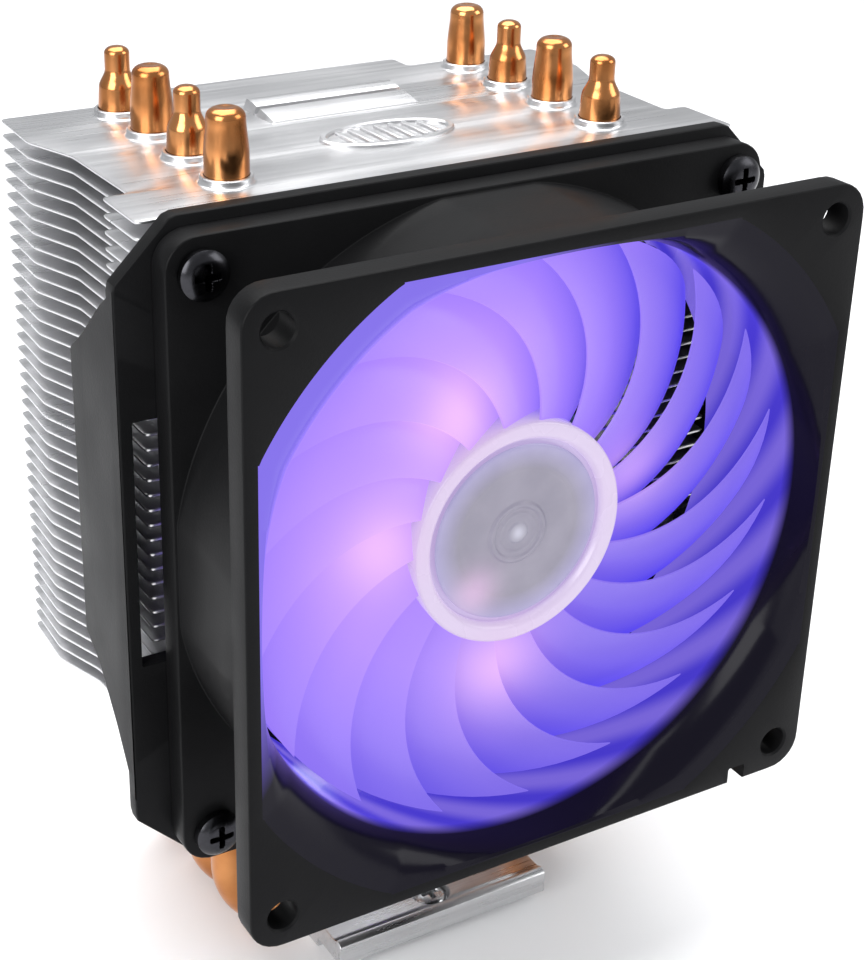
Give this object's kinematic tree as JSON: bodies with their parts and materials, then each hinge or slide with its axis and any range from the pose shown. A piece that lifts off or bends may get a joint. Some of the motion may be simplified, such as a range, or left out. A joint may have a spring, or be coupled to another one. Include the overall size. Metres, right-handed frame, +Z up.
{
  "type": "cpu tower cooler",
  "caption": "Upright processor cooler: copper heat pipes bent through a flat aluminium base, a tall stack of thin fins, and a lit axial fan on a clip-on bracket.",
  "frame": {"origin": "middle of the contact face under the base", "axes": "+Z up along the heat pipes, -Y towards the side the fan is on, +X to the right seen from the fan's side"},
  "size_m": [0.102, 0.0866, 0.136],
  "materials": {
    "machined_aluminium": "machined, satin",
    "fin_aluminium": "rolled sheet, satin",
    "copper": "bare copper, polished",
    "steel": "bright",
    "black_steel": "blackened, glossy",
    "frame_plastic": "black, satin",
    "bracket_plastic": "black, satin",
    "blade_plastic": "frosted translucent, lit blue and violet",
    "disc_plastic": "pale grey, lit from behind",
    "magnet": "dull dark grey",
    "core_iron": "plain sheet iron",
    "white_nylon": "white",
    "winding": "enamelled copper wire",
    "brass": "turned",
    "bronze": "sintered, dull",
    "board": "green",
    "chip": "black",
    "lamp": "clear, lit magenta"
  },
  "bodies": {
    "cooler": {"base_block": "machined_aluminium", "base_screw_front": "steel", "base_screw_rear": "steel", "heat_pipe_1": "copper", "heat_pipe_2": "copper", "heat_pipe_3": "copper", "heat_pipe_4": "copper", "fin_stack": "fin_aluminium", "top_fin": "fin_aluminium", "fan_frame": "frame_plastic", "fan_bracket": "bracket_plastic", "fan_screw_1": "black_steel", "fan_screw_2": "black_steel", "fan_screw_3": "black_steel", "fan_screw_4": "black_steel", "stator_core": "core_iron", "insulator_front": "white_nylon", "insulator_rear": "white_nylon", "coil_1": "winding", "coil_2": "winding", "coil_3": "winding", "coil_4": "winding", "bearing_tube": "brass", "bearing_sleeve": "bronze", "thrust_pad": "white_nylon", "circuit_board": "board", "driver_chip": "chip", "lamp_1": "lamp", "lamp_2": "lamp", "lamp_3": "lamp", "lamp_4": "lamp"},
    "rotor": {"impeller": "blade_plastic", "hub_disc": "disc_plastic", "rotor_cup": "steel", "ring_magnet": "magnet", "rotor_shaft": "steel", "shaft_clip": "steel"}
  },
  "joints": [
    {"name": "rotor_spin", "type": "hinge", "parent": "cooler", "child": "rotor", "pos_m": [0, -0.0406, 0.0798], "axis": [0, 1, 0], "continuous": true}
  ]
}
